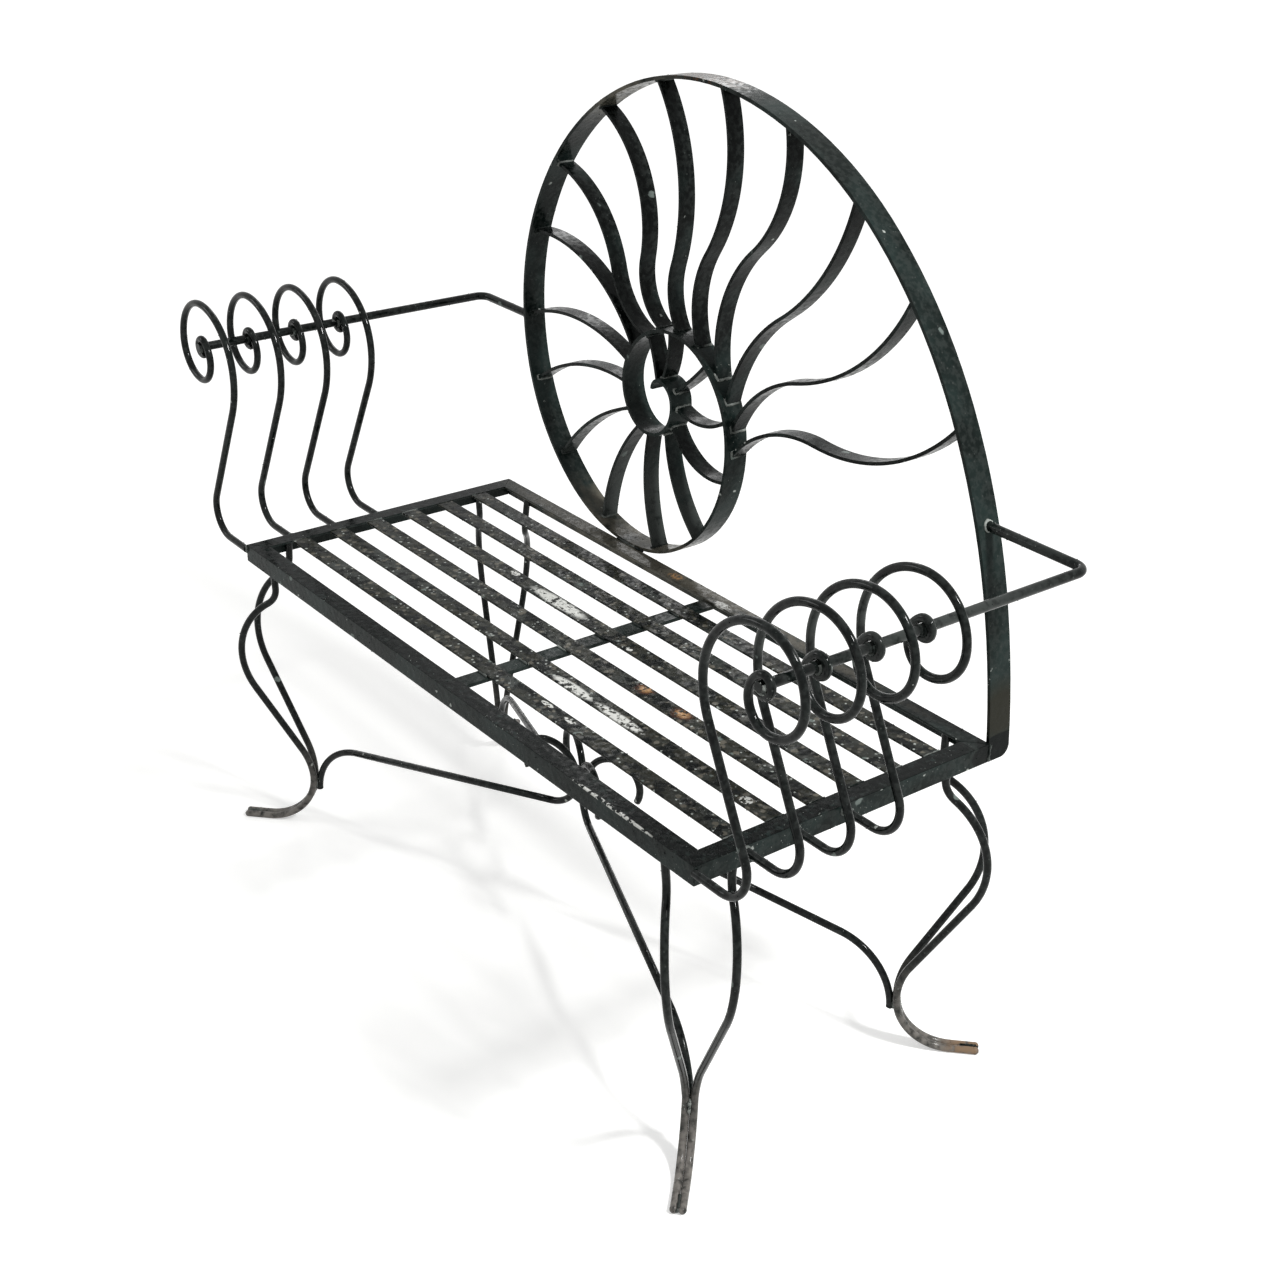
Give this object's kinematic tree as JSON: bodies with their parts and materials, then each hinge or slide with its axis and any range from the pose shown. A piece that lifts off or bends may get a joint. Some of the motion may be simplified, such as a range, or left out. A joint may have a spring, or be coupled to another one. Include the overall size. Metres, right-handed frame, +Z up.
{
  "type": "garden loveseat",
  "caption": "Wrought iron garden loveseat: slatted seat in an angle frame, spiral shell back with curved ribs, rod scroll arms and braced cabriole legs.",
  "frame": {"origin": "on the ground, under the middle of the whole loveseat's box", "axes": "+X to the right seen from the front, +Y to the back, +Z up"},
  "size_m": [1.3268, 0.515, 1.1283],
  "materials": {
    "hammered_enamel": "black green hammered enamel over wrought iron, half gloss, chipped at edges and welds",
    "rib_enamel": "black green enamel, worn grey along the edges",
    "slat_enamel": "dull brown grey weathered enamel with pale stains and small rust spots"
  },
  "bodies": {
    "root": {"rail_front": "hammered_enamel", "rail_rear": "hammered_enamel", "rail_left": "hammered_enamel", "rail_right": "hammered_enamel", "slat_1": "slat_enamel", "slat_2": "slat_enamel", "slat_3": "slat_enamel", "slat_4": "slat_enamel", "slat_5": "slat_enamel", "slat_6": "slat_enamel", "cross_bar": "hammered_enamel", "spiral_bar": "hammered_enamel", "rib_01": "rib_enamel", "rib_02": "rib_enamel", "rib_03": "rib_enamel", "rib_04": "rib_enamel", "rib_05": "rib_enamel", "rib_06": "rib_enamel", "rib_07": "rib_enamel", "rib_08": "rib_enamel", "rib_09": "rib_enamel", "rib_10": "rib_enamel", "rib_11": "rib_enamel", "rib_12": "rib_enamel", "rib_13": "rib_enamel", "rib_14": "rib_enamel", "rib_15": "rib_enamel", "rib_16": "rib_enamel", "rib_17": "rib_enamel", "rib_18": "rib_enamel", "rib_19": "rib_enamel", "rib_20": "rib_enamel", "arm_left": "hammered_enamel", "arm_right": "hammered_enamel", "scroll_left_1": "hammered_enamel", "scroll_left_2": "hammered_enamel", "scroll_left_3": "hammered_enamel", "scroll_left_4": "hammered_enamel", "scroll_right_1": "hammered_enamel", "scroll_right_2": "hammered_enamel", "scroll_right_3": "hammered_enamel", "scroll_right_4": "hammered_enamel", "leg_front_left_long": "hammered_enamel", "leg_front_left_short": "hammered_enamel", "brace_front_left": "hammered_enamel", "leg_front_right_long": "hammered_enamel", "leg_front_right_short": "hammered_enamel", "brace_front_right": "hammered_enamel", "leg_rear_left_long": "hammered_enamel", "leg_rear_left_short": "hammered_enamel", "brace_rear_left": "hammered_enamel", "leg_rear_right_long": "hammered_enamel", "leg_rear_right_short": "hammered_enamel", "brace_rear_right": "hammered_enamel"}
  },
  "joints": []
}
